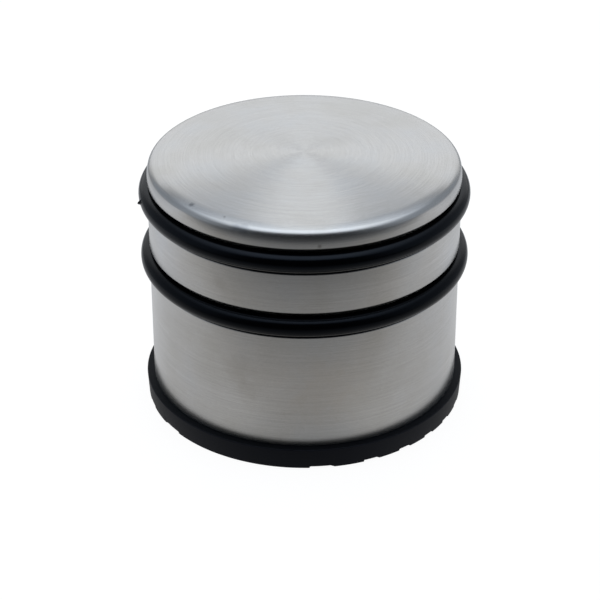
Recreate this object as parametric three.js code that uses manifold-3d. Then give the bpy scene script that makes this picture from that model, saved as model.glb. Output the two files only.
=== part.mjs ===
// Drum door stop: a brushed stainless steel drum filled with cement mortar, bonded to a foot cut
// from fluted rubber sheet, with two rubber rings round it as bumpers for the door.
//
// Millimetres, +Z up. The origin is the centre of the foot's underside, on the floor.

import * as THREE from "three";
import { mergeVertices } from "three/addons/utils/BufferGeometryUtils.js";
import Module from "manifold-3d";

const wasm = await Module();
wasm.setup();

// ---- Driving dimensions ------------------------------------------------------------------------

const SHELL_RADIUS = 42.6;
const SHELL_WALL = 0.8;
const TOP_HEIGHT = 72.65; // the middle of the domed top
const DOME_RADIUS = 450; // sphere radius of the top
const SHOULDER_RADIUS = 12; // the dome bends down into the rim
const SHOULDER_ANGLE = THREE.MathUtils.degToRad(73); // where the shoulder ends and the rim begins
const RIM_RADIUS = 2.2;
const SIDE_ANGLE = THREE.MathUtils.degToRad(15); // where the rim ends and the wall's bulge begins
const SIDE_RADIUS = 8;
const GROOVE_WIDTH = 7.25; // where the groove opens in the wall
const GROOVE_DEPTH = 3.27;
const UPPER_GROOVE_HEIGHT = 62.12; // middle of the groove
const LOWER_GROOVE_HEIGHT = 43.3;
const RING_SECTION_RADIUS = 2.65;
const RING_CENTRE_RADIUS = 42.35;
const RING_SLIP = 0.25; // the rings lie a little below the middles of their grooves

const FOOT_RADIUS = 44.65; // at the top; the cut edge leans in a little towards the floor
const FOOT_BOTTOM_RADIUS = 44.3;
const FOOT_THICKNESS = 5.9; // flutes included
const FOOT_EDGE_CHAMFER = 0.3;
const FLUTE_PITCH = 8.85;
const FLUTE_WIDTH = 3.5;
const FLUTE_DEPTH = 0.5;
const FLUTE_OFFSET = 2.5; // the middle flute's distance from the foot's centre
const FLUTE_TURN = THREE.MathUtils.degToRad(-24.7); // direction of the flutes, from +X

const ADHESIVE_THICKNESS = 0.5;
const ADHESIVE_RADIUS = 40.4;
const DISC_THICKNESS = 3.0;
const DISC_EDGE_CHAMFER = 0.5;

const FASTENER_COUNT = 3;
const FASTENER_CIRCLE_RADIUS = 26;
const SCREW_RADIUS = 2.0;
const SCREW_HEAD_RADIUS = 3.8;
const SCREW_HEAD_HEIGHT = 2.2;
const SCREW_LENGTH = 11;
const SCREW_TIP = 1.0; // bevel at the end of the shank
const SCREW_SOCKET_WIDTH = 0.9; // cross recess: width, length and depth
const SCREW_SOCKET_LENGTH = 4.2;
const SCREW_SOCKET_DEPTH = 1.2;
const INSERT_RADIUS = 3.2;
const INSERT_FLANGE_RADIUS = 4.6;
const INSERT_FLANGE_HEIGHT = 1.0;
const INSERT_LENGTH = 9.0;

const GAP = 0.3; // clearance between pieces that touch on the real object
const CUT_MARGIN = 1; // how far a cutter reaches past the face it opens
const MERGE_DISTANCE = 1e-4; // points closer than this become one

// ---- Mesh fineness -----------------------------------------------------------------------------

const ROUND_STEPS = 48; // steps round the drum's axis
const SMALL_STEPS = 12; // steps round a screw or an insert
const DOME_STEPS = 3;
const SHOULDER_STEPS = 2;
const RIM_STEPS = 3;
const SIDE_STEPS = 2;
const GROOVE_STEPS = 8;
const RING_SECTION_STEPS = 12;

// ---- Sizes worked out from the dimensions above ------------------------------------------------

const ADHESIVE_BOTTOM = FOOT_THICKNESS + GAP;
const MOUTH_HEIGHT = FOOT_THICKNESS + GAP; // lower edge of the shell
const DISC_BOTTOM = ADHESIVE_BOTTOM + ADHESIVE_THICKNESS + GAP;
const DISC_TOP = DISC_BOTTOM + DISC_THICKNESS;
const CASTING_BOTTOM = DISC_TOP + GAP;
const BORE_RADIUS = SHELL_RADIUS - SHELL_WALL; // inside of the shell
const UPPER_RING_HEIGHT = UPPER_GROOVE_HEIGHT - RING_SLIP;
const LOWER_RING_HEIGHT = LOWER_GROOVE_HEIGHT - RING_SLIP;

// The groove's section is an arc through its two edges and its bottom.
const GROOVE_RADIUS = ((GROOVE_WIDTH / 2) ** 2 + GROOVE_DEPTH ** 2) / (2 * GROOVE_DEPTH);
const GROOVE_CENTRE_RADIUS = SHELL_RADIUS - GROOVE_DEPTH + GROOVE_RADIUS;

// ---- Materials ---------------------------------------------------------------------------------

const brushedSteel = new THREE.MeshStandardMaterial({ color: 0xbfc0c2, roughness: 0.35, metalness: 1.0 });
const blackRubber = new THREE.MeshStandardMaterial({ color: 0x0c0d10, roughness: 0.45, metalness: 0.0 });
const footRubber = new THREE.MeshStandardMaterial({ color: 0x121318, roughness: 0.75, metalness: 0.0 });
const mortar = new THREE.MeshStandardMaterial({ color: 0x8f8d88, roughness: 0.9, metalness: 0.0 });
const blackPlastic = new THREE.MeshStandardMaterial({ color: 0x1d1e20, roughness: 0.55, metalness: 0.0 });
const brass = new THREE.MeshStandardMaterial({ color: 0xb08d4a, roughness: 0.35, metalness: 1.0 });
const zincSteel = new THREE.MeshStandardMaterial({ color: 0xa9adb0, roughness: 0.4, metalness: 1.0 });
const adhesive = new THREE.MeshStandardMaterial({ color: 0xe4e0d2, roughness: 0.8, metalness: 0.0 });

// ---- Helpers: outlines -------------------------------------------------------------------------

// Points on a circular arc, from one angle to another, ends included.
function arcPoints(centreX, centreY, radius, fromAngle, toAngle, steps) {
  const points = [];
  for (let i = 0; i <= steps; i += 1) {
    const angle = THREE.MathUtils.lerp(fromAngle, toAngle, i / steps);
    points.push(new THREE.Vector2(centreX + radius * Math.cos(angle), centreY + radius * Math.sin(angle)));
  }
  return points;
}

// The point at a distance from another, in the direction of an angle.
function stepAlong(point, angle, distance) {
  return new THREE.Vector2(point.x + distance * Math.cos(angle), point.y + distance * Math.sin(angle));
}

// Half-section of the drum's skin, from the middle of the top down to the wall's lower edge, at a
// depth below the outside surface. Depth 0 is the outside, SHELL_WALL is the inside.
function skinOutline(depth, bottomHeight) {
  // The arcs run smoothly into each other: two neighbours share a normal where they meet, so their
  // centres lie on one line through that point.
  const sideCentre = new THREE.Vector2(SHELL_RADIUS - SIDE_RADIUS, 0);
  const rimCentre = stepAlong(sideCentre, SIDE_ANGLE, SIDE_RADIUS - RIM_RADIUS);
  const shoulderCentre = stepAlong(rimCentre, SHOULDER_ANGLE, RIM_RADIUS - SHOULDER_RADIUS);
  const joinAngle = Math.acos(shoulderCentre.x / (DOME_RADIUS - SHOULDER_RADIUS));
  const domeCentre = stepAlong(shoulderCentre, joinAngle, SHOULDER_RADIUS - DOME_RADIUS);
  const rise = TOP_HEIGHT - DOME_RADIUS - domeCentre.y;

  const arcs = [
    [domeCentre, DOME_RADIUS, Math.PI / 2, joinAngle, DOME_STEPS],
    [shoulderCentre, SHOULDER_RADIUS, joinAngle, SHOULDER_ANGLE, SHOULDER_STEPS],
    [rimCentre, RIM_RADIUS, SHOULDER_ANGLE, SIDE_ANGLE, RIM_STEPS],
    [sideCentre, SIDE_RADIUS, SIDE_ANGLE, 0, SIDE_STEPS],
  ];
  const top = arcs.flatMap(([centre, radius, from, to, steps]) => {
    const points = arcPoints(centre.x, centre.y + rise, radius - depth, from, to, steps);
    return to === 0 ? points : points.slice(0, -1);
  });
  return [
    ...top,
    ...grooveOutline(depth, UPPER_GROOVE_HEIGHT),
    ...grooveOutline(depth, LOWER_GROOVE_HEIGHT),
    new THREE.Vector2(SHELL_RADIUS - depth, bottomHeight),
  ];
}

// The rolled groove that holds a ring, from its upper edge in the wall to its lower one.
function grooveOutline(depth, height) {
  const radius = GROOVE_RADIUS + depth;
  const reach = Math.acos((SHELL_RADIUS - depth - GROOVE_CENTRE_RADIUS) / radius);
  return arcPoints(GROOVE_CENTRE_RADIUS, height, radius, reach, 2 * Math.PI - reach, GROOVE_STEPS);
}

// ---- Helpers: meshes and cuts ------------------------------------------------------------------

// A solid of revolution about the drum's axis. The outline is radius and height, and it runs
// anticlockwise round the half-section, so that the faces point out.
function turned(outline, steps) {
  const geometry = new THREE.LatheGeometry(outline, steps);
  geometry.rotateX(Math.PI / 2);
  return geometry;
}

// A closed outline that never touches the axis: its first point is repeated at its end.
function turnedRing(outline, steps) {
  return turned([...outline, outline[0].clone()], steps);
}

function toSolid(geometry) {
  const bare = geometry.clone();
  bare.deleteAttribute("normal");
  bare.deleteAttribute("uv");
  const merged = mergeVertices(bare, MERGE_DISTANCE);
  const triangles = [];
  for (let i = 0; i < merged.index.count; i += 3) {
    const [a, b, c] = [0, 1, 2].map((k) => merged.index.getX(i + k));
    if (a !== b && b !== c && c !== a) {
      triangles.push(a, b, c);
    }
  }
  return new wasm.Manifold(
    new wasm.Mesh({
      numProp: 3,
      vertProperties: new Float32Array(merged.attributes.position.array),
      triVerts: new Uint32Array(triangles),
    }),
  );
}

function toGeometry(solid) {
  const mesh = solid.getMesh();
  const geometry = new THREE.BufferGeometry();
  geometry.setAttribute("position", new THREE.BufferAttribute(new Float32Array(mesh.vertProperties), 3));
  geometry.setIndex(new THREE.BufferAttribute(new Uint32Array(mesh.triVerts), 1));
  geometry.computeVertexNormals();
  return geometry;
}

function subtractAll(geometry, cutters) {
  let solid = toSolid(geometry);
  for (const cutter of cutters) {
    solid = solid.subtract(toSolid(cutter));
  }
  return toGeometry(solid);
}

function namedMesh(name, geometry, material) {
  const mesh = new THREE.Mesh(geometry, material.clone());
  mesh.name = name;
  return mesh;
}

// The screws and their inserts stand evenly round a circle.
function fastenerPlaces() {
  const places = [];
  for (let i = 0; i < FASTENER_COUNT; i += 1) {
    const place = new THREE.Vector2(0, FASTENER_CIRCLE_RADIUS);
    places.push(place.rotateAround(new THREE.Vector2(), (i * 2 * Math.PI) / FASTENER_COUNT));
  }
  return places;
}

// ---- The pieces --------------------------------------------------------------------------------

// Deep-drawn stainless cup, open at the bottom.
function outerShell() {
  const outside = skinOutline(0, MOUTH_HEIGHT);
  const inside = skinOutline(SHELL_WALL, MOUTH_HEIGHT).reverse();
  return turned([...outside, ...inside].reverse(), ROUND_STEPS);
}

// Cement mortar that fills the shell down to the closing disc, with a pocket for each insert.
function ballastCasting() {
  const outline = [
    ...skinOutline(SHELL_WALL + GAP, CASTING_BOTTOM),
    new THREE.Vector2(0, CASTING_BOTTOM),
  ];
  const pocket = turned(
    [
      new THREE.Vector2(0, -CUT_MARGIN),
      new THREE.Vector2(INSERT_FLANGE_RADIUS + GAP, -CUT_MARGIN),
      new THREE.Vector2(INSERT_FLANGE_RADIUS + GAP, INSERT_FLANGE_HEIGHT + GAP),
      new THREE.Vector2(INSERT_RADIUS + GAP, INSERT_FLANGE_HEIGHT + GAP),
      new THREE.Vector2(INSERT_RADIUS + GAP, SCREW_LENGTH + 2 * GAP),
      new THREE.Vector2(0, SCREW_LENGTH + 2 * GAP),
    ],
    SMALL_STEPS,
  );
  const cutters = fastenerPlaces().map((place) => {
    return pocket.clone().translate(place.x, place.y, CASTING_BOTTOM);
  });
  return subtractAll(turned(outline.reverse(), ROUND_STEPS), cutters);
}

// Brass insert with a flange, cast in the mortar. Its threads are plain here.
function threadedInsert() {
  const boreRadius = SCREW_RADIUS + GAP;
  const outline = [
    new THREE.Vector2(boreRadius, 0),
    new THREE.Vector2(INSERT_FLANGE_RADIUS, 0),
    new THREE.Vector2(INSERT_FLANGE_RADIUS, INSERT_FLANGE_HEIGHT),
    new THREE.Vector2(INSERT_RADIUS, INSERT_FLANGE_HEIGHT),
    new THREE.Vector2(INSERT_RADIUS, INSERT_LENGTH),
    new THREE.Vector2(boreRadius, INSERT_LENGTH),
  ];
  return turnedRing(outline, SMALL_STEPS);
}

// Plastic disc in the mouth of the shell, with a countersunk hole for each screw.
function closingDisc() {
  const radius = BORE_RADIUS - GAP;
  const outline = [
    new THREE.Vector2(0, DISC_BOTTOM),
    new THREE.Vector2(radius, DISC_BOTTOM),
    new THREE.Vector2(radius, DISC_TOP - DISC_EDGE_CHAMFER),
    new THREE.Vector2(radius - DISC_EDGE_CHAMFER, DISC_TOP),
    new THREE.Vector2(0, DISC_TOP),
  ];
  const countersink = turned(
    [
      new THREE.Vector2(0, -CUT_MARGIN),
      new THREE.Vector2(SCREW_HEAD_RADIUS + GAP, -CUT_MARGIN),
      new THREE.Vector2(SCREW_HEAD_RADIUS + GAP, GAP),
      new THREE.Vector2(SCREW_RADIUS + GAP, SCREW_HEAD_HEIGHT + GAP),
      new THREE.Vector2(SCREW_RADIUS + GAP, DISC_THICKNESS + CUT_MARGIN),
      new THREE.Vector2(0, DISC_THICKNESS + CUT_MARGIN),
    ],
    SMALL_STEPS,
  );
  const cutters = fastenerPlaces().map((place) => {
    return countersink.clone().translate(place.x, place.y, DISC_BOTTOM);
  });
  return subtractAll(turned(outline, ROUND_STEPS), cutters);
}

// Countersunk screw with a cross recess, head down.
function discScrew() {
  const outline = [
    new THREE.Vector2(0, 0),
    new THREE.Vector2(SCREW_HEAD_RADIUS, 0),
    new THREE.Vector2(SCREW_RADIUS, SCREW_HEAD_HEIGHT),
    new THREE.Vector2(SCREW_RADIUS, SCREW_LENGTH - SCREW_TIP),
    new THREE.Vector2(SCREW_RADIUS - SCREW_TIP, SCREW_LENGTH),
    new THREE.Vector2(0, SCREW_LENGTH),
  ];
  const slot = new THREE.BoxGeometry(SCREW_SOCKET_LENGTH, SCREW_SOCKET_WIDTH, 2 * SCREW_SOCKET_DEPTH);
  const crossSlot = slot.clone().rotateZ(Math.PI / 2);
  return subtractAll(turned(outline, SMALL_STEPS), [slot, crossSlot]);
}

// Double-sided adhesive between the closing disc and the foot.
function adhesiveDisc() {
  const outline = [
    new THREE.Vector2(0, ADHESIVE_BOTTOM),
    new THREE.Vector2(ADHESIVE_RADIUS, ADHESIVE_BOTTOM),
    new THREE.Vector2(ADHESIVE_RADIUS, ADHESIVE_BOTTOM + ADHESIVE_THICKNESS),
    new THREE.Vector2(0, ADHESIVE_BOTTOM + ADHESIVE_THICKNESS),
  ];
  return turned(outline, ROUND_STEPS);
}

// Rubber foot: a disc cut from sheet with parallel flutes underneath. The disc is wider than the
// shell, so a flat ledge runs round the drum.
function rubberBase() {
  const outline = [
    new THREE.Vector2(0, 0),
    new THREE.Vector2(FOOT_BOTTOM_RADIUS, 0),
    new THREE.Vector2(FOOT_RADIUS, FOOT_THICKNESS - FOOT_EDGE_CHAMFER),
    new THREE.Vector2(FOOT_RADIUS - FOOT_EDGE_CHAMFER, FOOT_THICKNESS),
    new THREE.Vector2(0, FOOT_THICKNESS),
  ];
  const flute = new THREE.BoxGeometry(2 * (FOOT_RADIUS + CUT_MARGIN), FLUTE_WIDTH, 2 * FLUTE_DEPTH);
  const cutters = [];
  const reach = Math.ceil(FOOT_RADIUS / FLUTE_PITCH);
  for (let i = -reach; i <= reach; i += 1) {
    const offset = FLUTE_OFFSET + i * FLUTE_PITCH;
    if (Math.abs(offset) + FLUTE_WIDTH / 2 < FOOT_RADIUS) {
      cutters.push(flute.clone().translate(0, -offset, 0).rotateZ(FLUTE_TURN));
    }
  }
  return subtractAll(turned(outline, ROUND_STEPS), cutters);
}

// Rubber bumper ring of round section.
function bumperRing() {
  const section = arcPoints(RING_CENTRE_RADIUS, 0, RING_SECTION_RADIUS, 0, 2 * Math.PI, RING_SECTION_STEPS);
  section.pop();
  return turnedRing(section, ROUND_STEPS);
}

// ---- The assembly ------------------------------------------------------------------------------

const doorStop = new THREE.Group();

doorStop.add(namedMesh("outer_shell", outerShell(), brushedSteel));
doorStop.add(namedMesh("ballast_casting", ballastCasting(), mortar));
doorStop.add(namedMesh("closing_disc", closingDisc(), blackPlastic));
doorStop.add(namedMesh("adhesive_disc", adhesiveDisc(), adhesive));
doorStop.add(namedMesh("rubber_base", rubberBase(), footRubber));

const ringHeights = { bumper_ring_upper: UPPER_RING_HEIGHT, bumper_ring_lower: LOWER_RING_HEIGHT };
for (const [name, height] of Object.entries(ringHeights)) {
  const ring = namedMesh(name, bumperRing(), blackRubber);
  ring.position.z = height;
  doorStop.add(ring);
}

fastenerPlaces().forEach((place, i) => {
  const insert = namedMesh(`threaded_insert_${i + 1}`, threadedInsert(), brass);
  insert.position.set(place.x, place.y, CASTING_BOTTOM);
  const screw = namedMesh(`disc_screw_${i + 1}`, discScrew(), zincSteel);
  screw.position.set(place.x, place.y, DISC_BOTTOM);
  doorStop.add(insert, screw);
});

export default doorStop;
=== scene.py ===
import math

import bmesh
import bpy
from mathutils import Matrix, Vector


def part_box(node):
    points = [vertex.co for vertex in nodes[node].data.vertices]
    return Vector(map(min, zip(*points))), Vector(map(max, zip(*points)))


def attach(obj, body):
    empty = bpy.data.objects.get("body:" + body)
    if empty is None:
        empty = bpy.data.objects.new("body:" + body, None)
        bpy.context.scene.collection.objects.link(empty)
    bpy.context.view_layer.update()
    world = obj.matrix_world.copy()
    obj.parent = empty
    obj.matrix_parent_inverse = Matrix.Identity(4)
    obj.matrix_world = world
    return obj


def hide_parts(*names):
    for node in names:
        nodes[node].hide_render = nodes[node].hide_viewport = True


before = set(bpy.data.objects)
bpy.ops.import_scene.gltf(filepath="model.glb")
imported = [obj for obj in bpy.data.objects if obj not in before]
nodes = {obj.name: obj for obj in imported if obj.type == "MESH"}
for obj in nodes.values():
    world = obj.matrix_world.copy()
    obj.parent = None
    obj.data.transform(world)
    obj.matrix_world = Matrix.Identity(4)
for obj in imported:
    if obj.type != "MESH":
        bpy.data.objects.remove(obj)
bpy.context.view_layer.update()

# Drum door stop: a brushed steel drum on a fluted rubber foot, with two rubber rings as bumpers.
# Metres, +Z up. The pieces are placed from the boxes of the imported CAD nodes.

MM = 0.001

# ---- Sizes that the CAD boxes don't give, in metres ---------------------------------------------

SHELL_WALL = 0.8 * MM
DOME_RADIUS = 450 * MM
SHOULDER_RADIUS = 12 * MM  # the dome bends down into the rim
SHOULDER_ANGLE = math.radians(73)  # where the shoulder ends and the rim begins
RIM_RADIUS = 2.2 * MM
SIDE_ANGLE = math.radians(15)  # where the rim ends and the wall's bulge begins
SIDE_RADIUS = 8 * MM
GROOVE_WIDTH = 7.25 * MM  # where a groove opens in the wall
GROOVE_DEPTH = 3.27 * MM
GROOVE_SHOULDER_RADIUS = 0.3 * MM
RING_SLIP = 0.25 * MM  # the rings lie a little below the middles of their grooves
MOUTH_EDGE_RADIUS = 0.2 * MM
MOUTH_GAP = 0.05 * MM  # between the shell and the foot
FOOT_DRAFT = 0.35 * MM  # how much narrower the foot is at the floor
FOOT_EDGE_RADIUS = 0.3 * MM
FLUTE_PITCH = 8.85 * MM
FLUTE_WIDTH = 3.5 * MM
FLUTE_DEPTH = 0.5 * MM
FLUTE_OFFSET = 2.5 * MM  # from the foot's centre to the middle flute
FLUTE_TURN = math.radians(-24.7)  # direction of the flutes, from +X
FLUTE_CORNER_RADIUS = 0.2 * MM
FLUTE_OVERRUN = 1.1  # half the length of a flute's cutter, in radii of the foot
CUT_EDGE_BAND = 0.3 * MM  # how far in from the foot's side a face still counts as its cut edge
CUT_EDGE_FACING = 0.5  # and how far outward it has to look, as a cosine

# Flash on the upper ring: azimuth from the front, angle round the section, height, radius.
MOULD_NIBS = (
    (math.radians(-77.5), math.radians(8), 0.7 * MM, 0.42 * MM),
    (math.radians(-80.0), math.radians(-18), 0.8 * MM, 0.38 * MM),
)

# ---- Mesh fineness ------------------------------------------------------------------------------

ROUND_STEPS = 360
EVEN_TURNS = [2 * math.pi * i / ROUND_STEPS for i in range(ROUND_STEPS)]
DOME_STEPS = 12
SHOULDER_STEPS = 8
RIM_STEPS = 16
SIDE_STEPS = 6
GROOVE_STEPS = 32
HIDDEN_GROOVE_STEPS = 16
LIP_STEPS = 8
EDGE_STEPS = 4
RING_SECTION_STEPS = 48
NIB_STEPS = 20  # extra turns of the lathe on each side of a nib
NIB_STEP_DEGREES = 0.1
FOOT_TOP_LOOP = 4 * MM  # an extra loop on the foot's top, in from its side
SHARP_ANGLE = math.radians(40)
ON_AXIS = 1e-9  # a smaller radius counts as the axis itself

# ---- Camera -------------------------------------------------------------------------------------

CAMERA_LENS = 122.36
CAMERA_SHIFT = -0.0074
CAMERA_DISTANCE = 571.77 * MM
CAMERA_ELEVATION = math.radians(30.23)
CAMERA_AIM_HEIGHT = 26.32 * MM

# ---- Places read from the CAD -------------------------------------------------------------------

_, shell_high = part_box("outer_shell")
_, foot_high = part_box("rubber_base")
SHELL_RADIUS = shell_high.x
TOP_HEIGHT = shell_high.z
FOOT_RADIUS = foot_high.x
FOOT_TOP = foot_high.z
MOUTH_HEIGHT = FOOT_TOP + MOUTH_GAP


def ring_place(node):
    """(height of the ring's middle, radius of its centre line, radius of its section)."""
    low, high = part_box(node)
    section = (high.z - low.z) / 2
    return (high.z + low.z) / 2, high.x - section, section


def on_wall(azimuth, height):
    """A point on the drum's wall, at an azimuth in degrees from the front."""
    turn = math.radians(azimuth)
    return SHELL_RADIUS * math.sin(turn), -SHELL_RADIUS * math.cos(turn), height


def on_dome(x, y):
    return x, y, TOP_HEIGHT - DOME_RADIUS + math.sqrt(DOME_RADIUS**2 - x * x - y * y)


# Stains and specks on the steel: place, radius, strength, colour.
STEEL_STAINS = (
    (on_dome(-29.1 * MM, -27.5 * MM), 1.15 * MM, 0.6, (0.12, 0.13, 0.15)),
    (on_dome(-20.4 * MM, -34.2 * MM), 0.45 * MM, 0.65, (0.12, 0.12, 0.12)),
    (on_wall(5.1, 66.6 * MM), 0.9 * MM, 0.45, (0.2, 0.19, 0.17)),
    (on_wall(-22, 70.4 * MM), 2.6 * MM, 0.5, (0.16, 0.18, 0.22)),
    (on_wall(-25, 70.2 * MM), 2.2 * MM, 0.45, (0.16, 0.18, 0.22)),
    (on_wall(-24, 27.5 * MM), 7.0 * MM, 0.26, (0.36, 0.33, 0.28)),
    (on_wall(-20, 22.0 * MM), 5.0 * MM, 0.18, (0.36, 0.33, 0.28)),
    (on_wall(-31, 53.0 * MM), 3.0 * MM, 0.22, (0.34, 0.32, 0.29)),
    (on_wall(8, 24.0 * MM), 16.0 * MM, 0.2, (0.52, 0.45, 0.35)),
)

# ---- Outlines of revolution: lists of (radius, height) ------------------------------------------


def arc(centre, radius, start, end, steps):
    """Points on a circular arc about centre, angles from the outward direction, ends included."""
    points = []
    for i in range(steps + 1):
        angle = start + (end - start) * i / steps
        points.append((centre[0] + radius * math.cos(angle), centre[1] + radius * math.sin(angle)))
    return points


def step_along(point, angle, distance):
    return point[0] + distance * math.cos(angle), point[1] + distance * math.sin(angle)


def top_outline(depth):
    """The dome, shoulder, rim and bulge, from the axis to the wall, at a depth below the outside.

    Neighbouring arcs share a normal where they meet, so their centres lie on one line through it.
    """
    side = (SHELL_RADIUS - SIDE_RADIUS, 0.0)
    rim = step_along(side, SIDE_ANGLE, SIDE_RADIUS - RIM_RADIUS)
    shoulder = step_along(rim, SHOULDER_ANGLE, RIM_RADIUS - SHOULDER_RADIUS)
    join = math.acos(shoulder[0] / (DOME_RADIUS - SHOULDER_RADIUS))
    dome = step_along(shoulder, join, SHOULDER_RADIUS - DOME_RADIUS)
    rise = TOP_HEIGHT - DOME_RADIUS - dome[1]
    points = []
    for centre, radius, start, end, steps in (
        (dome, DOME_RADIUS, math.pi / 2, join, DOME_STEPS),
        (shoulder, SHOULDER_RADIUS, join, SHOULDER_ANGLE, SHOULDER_STEPS),
        (rim, RIM_RADIUS, SHOULDER_ANGLE, SIDE_ANGLE, RIM_STEPS),
        (side, SIDE_RADIUS, SIDE_ANGLE, 0.0, SIDE_STEPS),
    ):
        points += arc((centre[0], centre[1] + rise), radius - depth, start, end, steps)[:-1]
    points.append((SHELL_RADIUS - depth, side[1] + rise))
    return points


def groove_outline(node, depth, shoulder):
    """The rolled groove behind a ring, from its upper end on the wall to its lower one."""
    height = ring_place(node)[0] + RING_SLIP
    bend = ((GROOVE_WIDTH / 2) ** 2 + GROOVE_DEPTH**2) / (2 * GROOVE_DEPTH)
    centre_radius = SHELL_RADIUS - GROOVE_DEPTH + bend
    centre = (centre_radius, height)
    radius = bend + depth
    wall = SHELL_RADIUS - depth
    if not shoulder:
        reach = math.acos((wall - centre_radius) / radius)
        return arc(centre, radius, reach, 2 * math.pi - reach, HIDDEN_GROOVE_STEPS)
    across = wall - shoulder - centre_radius
    rise = math.sqrt((radius + shoulder) ** 2 - across**2)
    lean = math.atan2(rise, across)
    upper = arc((wall - shoulder, height + rise), shoulder, 0.0, lean - math.pi, LIP_STEPS)
    lower = arc((wall - shoulder, height - rise), shoulder, math.pi - lean, 0.0, LIP_STEPS)
    hollow = arc(centre, radius, lean, 2 * math.pi - lean, GROOVE_STEPS)
    return upper + hollow[1:-1] + lower


def shell_outline():
    outside = top_outline(0.0)
    inside = top_outline(SHELL_WALL)
    for ring in ("bumper_ring_upper", "bumper_ring_lower"):
        outside += groove_outline(ring, 0.0, GROOVE_SHOULDER_RADIUS)
        inside += groove_outline(ring, SHELL_WALL, 0.0)
    edge = MOUTH_EDGE_RADIUS
    outer_edge = (SHELL_RADIUS - edge, MOUTH_HEIGHT + edge)
    inner_edge = (SHELL_RADIUS - SHELL_WALL + edge, MOUTH_HEIGHT + edge)
    mouth = arc(outer_edge, edge, 0.0, -math.pi / 2, EDGE_STEPS)
    mouth += arc(inner_edge, edge, -math.pi / 2, -math.pi, EDGE_STEPS)
    return outside + mouth + inside[::-1]


# ---- Meshes -------------------------------------------------------------------------------------


def new_piece(name, mesh):
    """Shades a bmesh smooth apart from its sharp edges, and makes it an object."""
    bmesh.ops.recalc_face_normals(mesh, faces=mesh.faces)
    for face in mesh.faces:
        face.smooth = True
    for edge in mesh.edges:
        if len(edge.link_faces) == 2 and edge.calc_face_angle() > SHARP_ANGLE:
            edge.smooth = False
    data = bpy.data.meshes.new(name)
    mesh.to_mesh(data)
    mesh.free()
    piece = bpy.data.objects.new(name, data)
    bpy.context.scene.collection.objects.link(piece)
    return piece


def lathe(outline, turns, closed=False):
    """Turns an outline about Z, at the given angles. A point on the axis becomes one vertex."""
    mesh = bmesh.new()
    rows = []
    for radius, height in outline:
        if radius < ON_AXIS:
            rows.append([mesh.verts.new((0, 0, height))] * len(turns))
            continue
        row = [(radius * math.cos(turn), radius * math.sin(turn), height) for turn in turns]
        rows.append([mesh.verts.new(place) for place in row])
    if closed:
        rows.append(rows[0])
    for above, below in zip(rows, rows[1:]):
        for i in range(len(turns)):
            j = (i + 1) % len(turns)
            corners = []
            for vertex in (above[i], above[j], below[j], below[i]):
                if vertex not in corners:
                    corners.append(vertex)
            mesh.faces.new(corners)
    return mesh


def drum_shell():
    return new_piece("drum_shell", lathe(shell_outline(), EVEN_TURNS))


def facing(azimuth):
    """Turn about Z of an azimuth, which counts from the front, anticlockwise seen from above."""
    return azimuth - math.pi / 2


def rubber_ring(node, name, nibs=()):
    """A moulded ring. Nibs are flash left by the mould: (azimuth, section angle, height, radius)."""
    height, centre_radius, section = ring_place(node)
    outline = arc((centre_radius, height), section, 0.0, 2 * math.pi, RING_SECTION_STEPS)[:-1]
    turns = set(EVEN_TURNS)
    for azimuth, _, _, _ in nibs:
        for i in range(-NIB_STEPS, NIB_STEPS + 1):
            turns.add((facing(azimuth) + math.radians(NIB_STEP_DEGREES * i)) % (2 * math.pi))
    mesh = lathe(outline, sorted(turns), closed=True)
    for azimuth, angle, rise, spread in nibs:
        turn = facing(azimuth)
        level = math.cos(angle)
        outward = Vector((math.cos(turn) * level, math.sin(turn) * level, math.sin(angle)))
        middle = Vector((math.cos(turn), math.sin(turn), 0)) * centre_radius + Vector((0, 0, height))
        tip = middle + outward * section
        for vertex in mesh.verts:
            near = (vertex.co - tip).length / spread
            vertex.co += outward * rise * math.exp(-near * near)
    return new_piece(name, mesh)


def fluted_foot(sheet, cut_edge):
    """The foot: the sheet's darker material, painted shade, on its top and flutes, the cut edge's
    round its side.
    """
    edge = FOOT_EDGE_RADIUS
    upper = arc((FOOT_RADIUS - edge, FOOT_TOP - edge), edge, math.pi / 2, 0.0, EDGE_STEPS)
    bottom = FOOT_RADIUS - FOOT_DRAFT
    top = [(0.0, FOOT_TOP), (FOOT_RADIUS - FOOT_TOP_LOOP, FOOT_TOP)]
    outline = [*top, *upper, (bottom, 0.0), (0.0, 0.0)]
    foot = new_piece("fluted_foot", lathe(outline, EVEN_TURNS))
    cutter = bmesh.new()
    reach = math.ceil(FOOT_RADIUS / FLUTE_PITCH)
    for i in range(-reach, reach + 1):
        offset = FLUTE_OFFSET + i * FLUTE_PITCH
        if abs(offset) + FLUTE_WIDTH / 2 < FOOT_RADIUS:
            flute_cutter(cutter, offset)
    tool = new_piece("flute_cutter", cutter)
    cut = foot.modifiers.new("flutes", "BOOLEAN")
    cut.operation = "DIFFERENCE"
    cut.solver = "EXACT"
    cut.object = tool
    bpy.context.view_layer.objects.active = foot
    bpy.ops.object.modifier_apply(modifier=cut.name)
    bpy.data.objects.remove(tool)
    mesh = bmesh.new()
    mesh.from_mesh(foot.data)
    bpy.data.objects.remove(foot)
    foot = new_piece("fluted_foot", mesh)
    foot.data.materials.append(sheet)
    foot.data.materials.append(cut_edge)
    # Faces that don't look out from the side take the darker sheet material, which is painted shade.
    for face in foot.data.polygons:
        outward = Vector((*face.center[:2], 0)).normalized().dot(face.normal)
        at_side = face.center.to_2d().length > bottom - CUT_EDGE_BAND
        face.material_index = int(outward > CUT_EDGE_FACING and at_side)
    return foot


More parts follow.
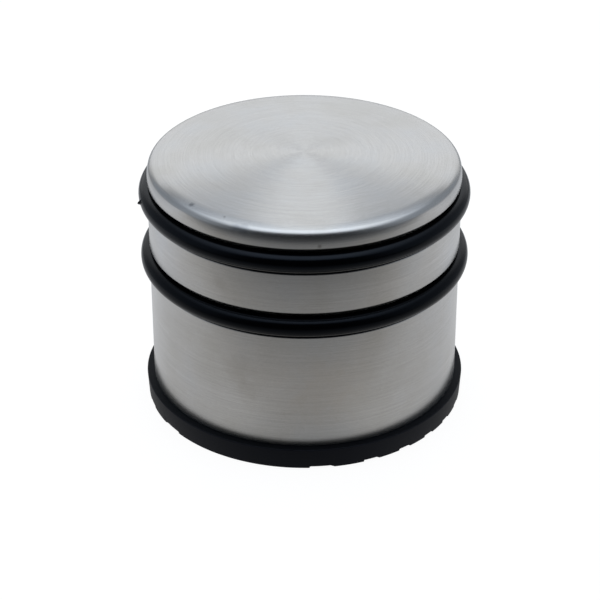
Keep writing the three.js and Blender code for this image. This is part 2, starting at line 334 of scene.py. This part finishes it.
def flute_cutter(mesh, offset):
    """Adds the prism of one flute: parallel sides and small round corners at its roof."""
    half = FLUTE_WIDTH / 2
    corner = FLUTE_CORNER_RADIUS
    section = [(-half, -FLUTE_DEPTH), (half, -FLUTE_DEPTH)]
    section += arc((half - corner, FLUTE_DEPTH - corner), corner, 0.0, math.pi / 2, EDGE_STEPS)
    section += arc((corner - half, FLUTE_DEPTH - corner), corner, math.pi / 2, math.pi, EDGE_STEPS)
    length = FLUTE_OVERRUN * FOOT_RADIUS
    along = Vector((math.cos(FLUTE_TURN), math.sin(FLUTE_TURN), 0))
    across = Vector((math.sin(FLUTE_TURN), -math.cos(FLUTE_TURN), 0))
    ends = []
    for side in (-length, length):
        places = [along * side + across * (offset + x) + Vector((0, 0, z)) for x, z in section]
        ends.append([mesh.verts.new(place) for place in places])
    near, far = ends
    mesh.faces.new(near)
    mesh.faces.new(far[::-1])
    for i in range(len(section)):
        j = (i + 1) % len(section)
        mesh.faces.new((near[i], near[j], far[j], far[i]))


# ---- Materials ----------------------------------------------------------------------------------

# How strong the brushing marks are, and where below the top the wall's give way to the dome's.
WALL_MARKS = 1.35
DOME_MARKS = 1.3
MARKS_CHANGE = (5 * MM, 3 * MM)
SCRATCH_DEPTH = 0.003 * MM
RAGGEDNESS = 0.9  # of a stain's outline, over its radius
DOME_CENTRE = 0.1 * MM  # inside this radius the marks no longer close in on the axis

RING_COLOUR = (0.0008, 0.0009, 0.0014)
RING_SHEEN = (0.66, 0.79, 1.0)
# The foot's top and flutes are darker than its cut side: painted shade for the ledge under the drum.
FOOT_SHEET_SHADED_COLOUR = (0.0012, 0.0011, 0.002)
FOOT_CUT_COLOUR = (0.004, 0.0034, 0.0062)
FOOT_SHEEN = (0.74, 0.86, 1.0)
RUBBER_TONES = (0.8, 1.25)  # darkest and lightest, over the colour
RUBBER_CLOUDS = 0.06  # repeats of its clouds, over those of its grain


class Nodes:
    """The node tree of a material or a world, with short ways to add and join nodes."""

    def __init__(self, owner):
        owner.use_nodes = True
        self.owner = owner
        self.tree = owner.node_tree
        self.shader = self.tree.nodes.get("Principled BSDF") or self.tree.nodes["Background"]

    def add(self, kind, **settings):
        node = self.tree.nodes.new(kind)
        for key, value in settings.items():
            setattr(node, key, value)
        return node

    def join(self, source, target):
        self.tree.links.new(source, target)

    def put(self, socket, value):
        """Sets an input to a number, or joins an output to it."""
        if isinstance(value, bpy.types.NodeSocket):
            self.join(value, socket)
        else:
            socket.default_value = value

    def set(self, **values):
        """Constants on the shader's own sockets; underscores stand for spaces."""
        for key, value in values.items():
            self.shader.inputs[key.replace("_", " ")].default_value = value

    def math(self, operation, *values):
        node = self.add("ShaderNodeMath", operation=operation)
        for i, value in enumerate(values):
            self.put(node.inputs[i], value)
        return node.outputs[0]

    def product(self, first, second):
        return self.math("MULTIPLY", first, second)

    def rest(self, value):
        """What is left of one."""
        return self.math("SUBTRACT", 1.0, value)

    def total(self, *parts):
        """The sum of values, each with its weight."""
        terms = [self.product(value, weight) for value, weight in parts]
        total = terms[0]
        for term in terms[1:]:
            total = self.math("ADD", total, term)
        return total

    def vector(self, x, y, z):
        node = self.add("ShaderNodeCombineXYZ")
        for socket, value in zip(node.inputs, (x, y, z)):
            self.put(socket, value)
        return node.outputs[0]

    def place(self):
        """Object coordinates, as a vector and as x, y and z."""
        coordinates = self.add("ShaderNodeTexCoord").outputs["Object"]
        split = self.add("ShaderNodeSeparateXYZ")
        self.join(coordinates, split.inputs[0])
        return coordinates, *split.outputs

    def noise(self, vector, scale, detail=2.0, roughness=0.5):
        node = self.add("ShaderNodeTexNoise")
        self.join(vector, node.inputs["Vector"])
        node.inputs["Scale"].default_value = scale
        node.inputs["Detail"].default_value = detail
        node.inputs["Roughness"].default_value = roughness
        return node.outputs["Fac"]

    def smooth(self, value, low, high):
        """A smooth step from 0 at low to 1 at high."""
        node = self.add("ShaderNodeMapRange", interpolation_type="SMOOTHSTEP")
        self.join(value, node.inputs["Value"])
        node.inputs["From Min"].default_value = low
        node.inputs["From Max"].default_value = high
        return node.outputs["Result"]

    def spread(self, value, low, high, from_low=0.25, from_high=0.75):
        """Maps value from the given range to low..high."""
        node = self.add("ShaderNodeMapRange")
        self.join(value, node.inputs["Value"])
        node.inputs["From Min"].default_value = from_low
        node.inputs["From Max"].default_value = from_high
        node.inputs["To Min"].default_value = low
        node.inputs["To Max"].default_value = high
        return node.outputs["Result"]

    def colours(self, value, stops):
        """A colour ramp: stops are (position, colour)."""
        ramp = self.add("ShaderNodeValToRGB")
        self.join(value, ramp.inputs[0])
        elements = ramp.color_ramp.elements
        while len(elements) < len(stops):
            elements.new(0.5)
        for element, (position, colour) in zip(elements, stops):
            element.position = position
            element.color = (*colour, 1.0)
        return ramp.outputs["Color"]

    def mix(self, amount, first, second, blend="MIX"):
        """Mixes two colours, each a socket or a constant."""
        node = self.add("ShaderNodeMix", data_type="RGBA", blend_type=blend)
        factor, one, two = node.inputs[0], node.inputs[6], node.inputs[7]
        for socket, value in ((factor, amount), (one, first), (two, second)):
            self.put(socket, (*value, 1.0) if isinstance(value, tuple) else value)
        return node.outputs[2]

    def multiply(self, first, second):
        return self.mix(1.0, first, second, "MULTIPLY")

    def length(self, x, y):
        return self.math("SQRT", self.math("ADD", self.product(x, x), self.product(y, y)))

    def distance(self, coordinates, place):
        node = self.add("ShaderNodeVectorMath", operation="DISTANCE")
        self.join(coordinates, node.inputs[0])
        node.inputs[1].default_value = place
        return node.outputs["Value"]

    def bump(self, height, distance, strength=1.0):
        node = self.add("ShaderNodeBump")
        node.inputs["Strength"].default_value = strength
        node.inputs["Distance"].default_value = distance
        self.join(height, node.inputs["Height"])
        self.join(node.outputs["Normal"], self.shader.inputs["Normal"])


def new_material(name):
    return Nodes(bpy.data.materials.new(name))


def brushed_steel():
    """Stainless steel brushed round the drum's axis, on the dome and the wall alike, with stains."""
    n = new_material("brushed_stainless")
    coordinates, x, y, z = n.place()
    radius = n.length(x, y)
    safe = n.math("MAXIMUM", radius, DOME_CENTRE)
    around_x = n.math("DIVIDE", x, safe)
    around_y = n.math("DIVIDE", y, safe)
    down = n.math("SUBTRACT", radius, z)

    def streaks(along, across, detail):
        """Noise drawn out round the axis: repeats along a radian, and across a metre."""
        place = (n.product(around_x, along), n.product(around_y, along), n.product(down, across))
        return n.noise(n.vector(*place), 1.0, detail=detail, roughness=0.6)

    scratches = streaks(4.0, 5200.0, 3.0)
    lines = streaks(1.6, 5000.0, 2.0)
    bands = streaks(2.0, 900.0, 1.0)
    speckle = n.noise(coordinates, 3200.0, detail=3.0)
    grain = n.total((scratches, 0.3), (lines, 0.3), (bands, 0.06), (speckle, 0.34))
    on_top = n.smooth(z, *(TOP_HEIGHT - depth for depth in MARKS_CHANGE))
    strength = n.spread(on_top, WALL_MARKS, DOME_MARKS, 0.0, 1.0)
    grain = n.math("ADD", n.product(n.math("SUBTRACT", grain, 0.5), strength), 0.5)
    metal = n.colours(grain, [(0.34, (0.545, 0.545, 0.545)), (0.66, (0.655, 0.655, 0.655))])

    cloud = n.noise(coordinates, 75.0, detail=3.0)
    tint = n.colours(cloud, [
        (0.32, (0.955, 0.95, 0.93)),
        (0.5, (1.0, 1.0, 0.995)),
        (0.68, (0.99, 1.005, 1.02)),
    ])
    metal = n.multiply(metal, tint)
    wavy = n.noise(coordinates, 420.0, detail=3.0)
    for place, size, depth, colour in STEEL_STAINS:
        unevenness = n.product(n.math("SUBTRACT", wavy, 0.5), RAGGEDNESS * size)
        ragged = n.math("ADD", n.distance(coordinates, place), unevenness)
        amount = n.product(n.rest(n.smooth(ragged, 0.0, size)), depth)
        metal = n.mix(amount, metal, colour)
    n.join(metal, n.shader.inputs["Base Color"])
    n.join(n.spread(scratches, 0.2, 0.225), n.shader.inputs["Roughness"])
    n.set(Metallic=1.0, Anisotropic=0.889, Anisotropic_Rotation=0.25)
    tangent = n.add("ShaderNodeTangent", direction_type="RADIAL", axis="Z")
    n.join(tangent.outputs[0], n.shader.inputs["Tangent"])
    n.bump(grain, SCRATCH_DEPTH)
    return n.owner


def rubber(name, colour, sheen, roughness, shine, grain, grain_depth):
    """Rubber with a fine grain, in repeats per metre, and a highlight of the colour of its sheen."""
    n = new_material(name)
    coordinates, *_ = n.place()
    speckle = n.noise(coordinates, grain, detail=3.0, roughness=0.6)
    cloud = n.noise(coordinates, grain * RUBBER_CLOUDS, detail=2.0)
    tone = n.total((speckle, 0.4), (cloud, 0.6))
    dark, light = (tuple(factor * c for c in colour) for factor in RUBBER_TONES)
    n.join(n.colours(tone, [(0.3, dark), (0.7, light)]), n.shader.inputs["Base Color"])
    n.join(n.spread(speckle, roughness - 0.04, roughness + 0.04), n.shader.inputs["Roughness"])
    n.set(Specular_IOR_Level=shine, Specular_Tint=(*sheen, 1.0))
    n.bump(speckle, grain_depth)
    return n.owner


def mortar():
    n = new_material("cement_mortar")
    coordinates, *_ = n.place()
    sand = n.noise(coordinates, 900.0, detail=4.0, roughness=0.7)
    patch = n.noise(coordinates, 60.0)
    tone = n.total((sand, 0.6), (patch, 0.4))
    n.join(n.colours(tone, [
        (0.3, (0.25, 0.24, 0.225)),
        (0.5, (0.36, 0.35, 0.33)),
        (0.7, (0.48, 0.47, 0.44)),
    ]), n.shader.inputs["Base Color"])
    n.join(n.spread(sand, 0.8, 0.95), n.shader.inputs["Roughness"])
    n.bump(sand, 0.3 * MM)
    return n.owner


def moulded_plastic():
    n = new_material("moulded_black_plastic")
    coordinates, *_ = n.place()
    grain = n.noise(coordinates, 2500.0, detail=2.0)
    n.join(n.colours(grain, [(0.3, (0.017, 0.017, 0.019)), (0.7, (0.026, 0.026, 0.028))]),
           n.shader.inputs["Base Color"])
    n.join(n.spread(grain, 0.48, 0.6), n.shader.inputs["Roughness"])
    n.bump(grain, 0.02 * MM)
    return n.owner


def adhesive_foam():
    n = new_material("adhesive_foam")
    coordinates, *_ = n.place()
    cells = n.add("ShaderNodeTexVoronoi")
    n.join(coordinates, cells.inputs["Vector"])
    cells.inputs["Scale"].default_value = 2200.0
    tone = cells.outputs["Distance"]
    n.join(n.colours(tone, [(0.1, (0.62, 0.59, 0.5)), (0.6, (0.8, 0.77, 0.67))]),
           n.shader.inputs["Base Color"])
    n.join(n.spread(tone, 0.85, 0.7, 0.0, 0.6), n.shader.inputs["Roughness"])
    n.bump(tone, 0.05 * MM)
    return n.owner


def turned_metal(name, dark, light, roughness):
    """Small turned metal pieces: fine marks round their own axis."""
    n = new_material(name)
    _, x, y, z = n.place()
    stretched = n.vector(n.product(x, 200.0), n.product(y, 200.0), n.product(z, 9000.0))
    marks = n.noise(stretched, 1.0, detail=2.0)
    n.join(n.colours(marks, [(0.3, dark), (0.7, light)]), n.shader.inputs["Base Color"])
    n.join(n.spread(marks, roughness - 0.05, roughness + 0.07), n.shader.inputs["Roughness"])
    n.set(Metallic=1.0)
    n.bump(marks, 0.01 * MM)
    return n.owner


def wear(obj, material):
    obj.data.materials.clear()
    obj.data.materials.append(material)


# ---- The object ---------------------------------------------------------------------------------

shell = drum_shell()
wear(shell, brushed_steel())
upper_ring = rubber_ring("bumper_ring_upper", "upper_ring", MOULD_NIBS)
lower_ring = rubber_ring("bumper_ring_lower", "lower_ring")
wear(upper_ring, rubber("ring_rubber", RING_COLOUR, RING_SHEEN, roughness=0.19, shine=0.2,
                        grain=1500.0, grain_depth=0.01 * MM))
# The lower ring's copy has less shine and more roughness. This is painted shade that dims its
# highlight, where the upper ring shades it.
wear(lower_ring, rubber("ring_rubber_shaded_copy", RING_COLOUR, RING_SHEEN, roughness=0.22, shine=0.15,
                        grain=1500.0, grain_depth=0.01 * MM))
foot = fluted_foot(
    rubber("foot_sheet_painted_shade", FOOT_SHEET_SHADED_COLOUR, FOOT_SHEEN, roughness=0.6, shine=0.18,
           grain=1200.0, grain_depth=0.05 * MM),
    rubber("foot_cut_edge", FOOT_CUT_COLOUR, FOOT_SHEEN, roughness=0.5, shine=0.22,
           grain=2000.0, grain_depth=0.03 * MM),
)

made = (
    (shell, "outer_shell", "brushed_shell"),
    (upper_ring, "bumper_ring_upper", "bumper_rubber"),
    (lower_ring, "bumper_ring_lower", "bumper_rubber"),
    (foot, "rubber_base", "foot_rubber"),
)
for piece, node, slot in made:
    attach(piece, "root")
    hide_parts(node)

wear(nodes["ballast_casting"], mortar())
wear(nodes["closing_disc"], moulded_plastic())
wear(nodes["adhesive_disc"], adhesive_foam())
brass = turned_metal("turned_brass", (0.5, 0.35, 0.13), (0.66, 0.5, 0.22), 0.3)
zinc = turned_metal("zinc_plated_steel", (0.48, 0.49, 0.51), (0.62, 0.63, 0.65), 0.35)
for i in (1, 2, 3):
    wear(nodes[f"threaded_insert_{i}"], brass)
    wear(nodes[f"disc_screw_{i}"], zinc)

# ---- The studio ---------------------------------------------------------------------------------

FLOOR_SIZE = 6.0
PAPER_GLOW = 0.93
# Radiance of the paper along Y, front to back.
FLOOR_GLOW = (
    (-400 * MM, (0.028, 0.03, 0.032)),
    (-230 * MM, (0.128, 0.133, 0.14)),
    (-130 * MM, (0.264, 0.264, 0.262)),
    (-75 * MM, (0.385, 0.374, 0.36)),
    (-52 * MM, (0.478, 0.475, 0.467)),
    (-15 * MM, (0.545, 0.545, 0.545)),
    (45 * MM, (0.66, 0.67, 0.69)),
    (180 * MM, (0.56, 0.58, 0.61)),
    (500 * MM, (0.24, 0.25, 0.265)),
)
# The drum's own shade on the paper in front of it.
SHADE_CENTRE = (0.0, -45 * MM, 0.0)
SHADE_REACH = (8 * MM, 36 * MM)
SHADE_LEVEL = 0.72

# The lights, as brightness over directions. A pair is where a light fades in, from nothing to full:
# heights are the sine of the elevation, "back" is the cosine of the angle from straight behind.
SIDE_LEVELS = (0.02, 0.323)  # in front, and from the sides to the back
SIDE_BACK = (-0.95, -0.1)
SIDE_TINT = (0.9, 0.99, 1.11)
LAMP_HEIGHT = (0.572, 1.017)
LAMP_FRONT = (-0.75, -0.45)  # how far forward it reaches, as y / z
LAMP_LEVEL = 1.22
LAMP_TINT = (0.93, 0.995, 1.075)
CORE_HEIGHT = (0.84, 0.97)  # the brighter middle of the lamp
CORE_LEVEL = 0.24
PANEL_BACK = (0.596, 1.0)
PANEL_HEIGHT = (0.478, 0.679)  # fades out upwards
PANEL_LEVEL = 0.968
PANEL_TINT = (0.985, 1.0, 1.018)
PANEL_TINT_FROM = 0.6
STRIP_HALF_WIDTH = (0.055, 0.085)  # fades out sideways
STRIP_BACK = (0.0, 0.2)
STRIP_LEVEL = 0.98
NEVER_ZERO = 1e-3  # keeps the divisions defined


def floor_plane(name, height):
    mesh = bmesh.new()
    bmesh.ops.create_grid(mesh, x_segments=1, y_segments=1, size=FLOOR_SIZE)
    bmesh.ops.translate(mesh, verts=mesh.verts, vec=(0, 0, height))
    plane = new_piece(name, mesh)
    return plane


def studio_floor():
    """The pale floor that the camera sees, with the drum's faint shadow."""
    floor = floor_plane("floor", -0.05 * MM)
    n = new_material("floor_paper")
    n.set(Roughness=1.0, Base_Color=(0.16, 0.16, 0.16, 1.0), Emission_Color=(1.0, 1.0, 1.0, 1.0))
    n.set(Specular_IOR_Level=0.0, Emission_Strength=PAPER_GLOW)
    wear(floor, n.owner)
    floor.visible_diffuse = False
    floor.visible_glossy = False
    floor.visible_shadow = False


def bounce_floor():
    """The lit paper as the steel mirrors it, darker towards the front. The camera doesn't see it."""
    floor = floor_plane("bounce_floor", -0.2 * MM)
    n = new_material("bounce_paper")
    coordinates, _, y, _ = n.place()
    front, back = FLOOR_GLOW[0][0], FLOOR_GLOW[-1][0]
    span = n.spread(y, 0.0, 1.0, front, back)
    stops = [((place - front) / (back - front), colour) for place, colour in FLOOR_GLOW]
    n.set(Roughness=1.0, Base_Color=(0.0, 0.0, 0.0, 1.0))
    n.set(Specular_IOR_Level=0.0, Emission_Strength=1.0)
    away = n.smooth(n.distance(coordinates, SHADE_CENTRE), *SHADE_REACH)
    shade = n.mix(away, (SHADE_LEVEL,) * 3, (1.0, 1.0, 1.0))
    n.join(n.multiply(n.colours(span, stops), shade), n.shader.inputs["Emission Color"])
    wear(floor, n.owner)
    floor.visible_camera = False


def studio_light():
    """Overhead softbox, a low panel and a narrow strip behind, dim sides and a dark room in front."""
    world = bpy.data.worlds.new("studio")
    bpy.context.scene.world = world
    n = Nodes(world)
    direction = n.add("ShaderNodeTexCoord").outputs["Generated"]
    split = n.add("ShaderNodeSeparateXYZ")
    n.join(direction, split.inputs[0])
    x, y, z = split.outputs
    back = n.math("DIVIDE", y, n.math("MAXIMUM", n.length(x, y), NEVER_ZERO))
    reach = n.math("DIVIDE", y, n.math("MAXIMUM", z, NEVER_ZERO))

    overhead = n.product(n.smooth(z, *LAMP_HEIGHT), n.smooth(reach, *LAMP_FRONT))
    core = n.product(n.smooth(z, *CORE_HEIGHT), CORE_LEVEL)
    lamp = n.product(overhead, n.math("ADD", LAMP_LEVEL, core))
    sides = n.spread(n.smooth(back, *SIDE_BACK), *SIDE_LEVELS, 0.0, 1.0)
    sky = n.math("ADD", n.product(sides, n.rest(overhead)), lamp)
    low = n.rest(n.smooth(z, *PANEL_HEIGHT))
    panel = n.product(n.product(n.smooth(back, *PANEL_BACK), low), PANEL_LEVEL)
    narrow = n.rest(n.smooth(n.math("ABSOLUTE", x), *STRIP_HALF_WIDTH))
    strip = n.product(n.product(narrow, n.smooth(back, *STRIP_BACK)), STRIP_LEVEL)

    behind = n.math("MAXIMUM", panel, strip)
    tint = n.colours(behind, [(0.0, SIDE_TINT), (PANEL_TINT_FROM, PANEL_TINT)])
    n.join(n.mix(overhead, tint, LAMP_TINT), n.shader.inputs["Color"])
    n.join(n.math("MAXIMUM", sky, behind), n.shader.inputs["Strength"])


studio_floor()
bounce_floor()
studio_light()

camera_data = bpy.data.cameras.new("camera")
camera_data.lens = CAMERA_LENS
camera_data.shift_x = CAMERA_SHIFT
camera = bpy.data.objects.new("camera", camera_data)
bpy.context.scene.collection.objects.link(camera)
camera.location = (
    0.0,
    -CAMERA_DISTANCE * math.cos(CAMERA_ELEVATION),
    CAMERA_AIM_HEIGHT + CAMERA_DISTANCE * math.sin(CAMERA_ELEVATION),
)
camera.rotation_euler = (math.pi / 2 - CAMERA_ELEVATION, 0.0, 0.0)
bpy.context.scene.camera = camera
bpy.context.scene.view_settings.view_transform = "Standard"
